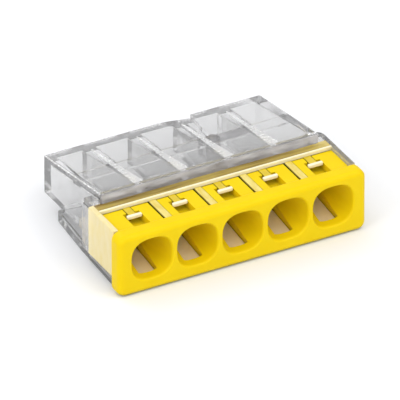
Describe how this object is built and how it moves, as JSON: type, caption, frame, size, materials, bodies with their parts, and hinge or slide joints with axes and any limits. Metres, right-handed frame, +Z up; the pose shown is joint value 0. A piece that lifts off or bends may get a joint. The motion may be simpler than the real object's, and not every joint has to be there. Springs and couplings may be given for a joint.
{
  "type": "push-wire connector",
  "caption": "Flat push-wire splicing connector: clear housing with a sloping rear block, yellow entry piece with a row of round wire funnels, and a sprung leaf in each.",
  "frame": {"origin": "middle of the bounding box in X and Y, on the surface that the connector lies on", "axes": "+X along the row of wire entries, -Y out of the wire entries, +Z up from the base"},
  "size_m": [0.022, 0.015, 0.0062],
  "materials": {
    "clear_plastic": "clear, polished",
    "yellow_plastic": "satin",
    "tinned_copper": "tinned, satin",
    "spring_steel": "bright rolled"
  },
  "bodies": {
    "connector": {"clear_housing": "clear_plastic", "entry_insert": "yellow_plastic", "current_bar": "tinned_copper", "spring_leg_1": "spring_steel", "spring_leg_2": "spring_steel", "spring_leg_3": "spring_steel", "spring_leg_4": "spring_steel", "spring_leg_5": "spring_steel"},
    "leaf_1": {"spring_leaf_1": "spring_steel"},
    "leaf_2": {"spring_leaf_2": "spring_steel"},
    "leaf_3": {"spring_leaf_3": "spring_steel"},
    "leaf_4": {"spring_leaf_4": "spring_steel"},
    "leaf_5": {"spring_leaf_5": "spring_steel"}
  },
  "joints": [
    {"name": "leaf_1_bend", "type": "hinge", "parent": "connector", "child": "leaf_1", "pos_m": [-0.008, -0.0025, 0.00344], "axis": [1, 0, 0], "range_deg": [0, 30], "stiffness_Nm_per_rad": 0.04},
    {"name": "leaf_2_bend", "type": "hinge", "parent": "connector", "child": "leaf_2", "pos_m": [-0.004, -0.0025, 0.00344], "axis": [1, 0, 0], "range_deg": [0, 30], "stiffness_Nm_per_rad": 0.04},
    {"name": "leaf_3_bend", "type": "hinge", "parent": "connector", "child": "leaf_3", "pos_m": [0, -0.0025, 0.00344], "axis": [1, 0, 0], "range_deg": [0, 30], "stiffness_Nm_per_rad": 0.04},
    {"name": "leaf_4_bend", "type": "hinge", "parent": "connector", "child": "leaf_4", "pos_m": [0.004, -0.0025, 0.00344], "axis": [1, 0, 0], "range_deg": [0, 30], "stiffness_Nm_per_rad": 0.04},
    {"name": "leaf_5_bend", "type": "hinge", "parent": "connector", "child": "leaf_5", "pos_m": [0.008, -0.0025, 0.00344], "axis": [1, 0, 0], "range_deg": [0, 30], "stiffness_Nm_per_rad": 0.04}
  ]
}
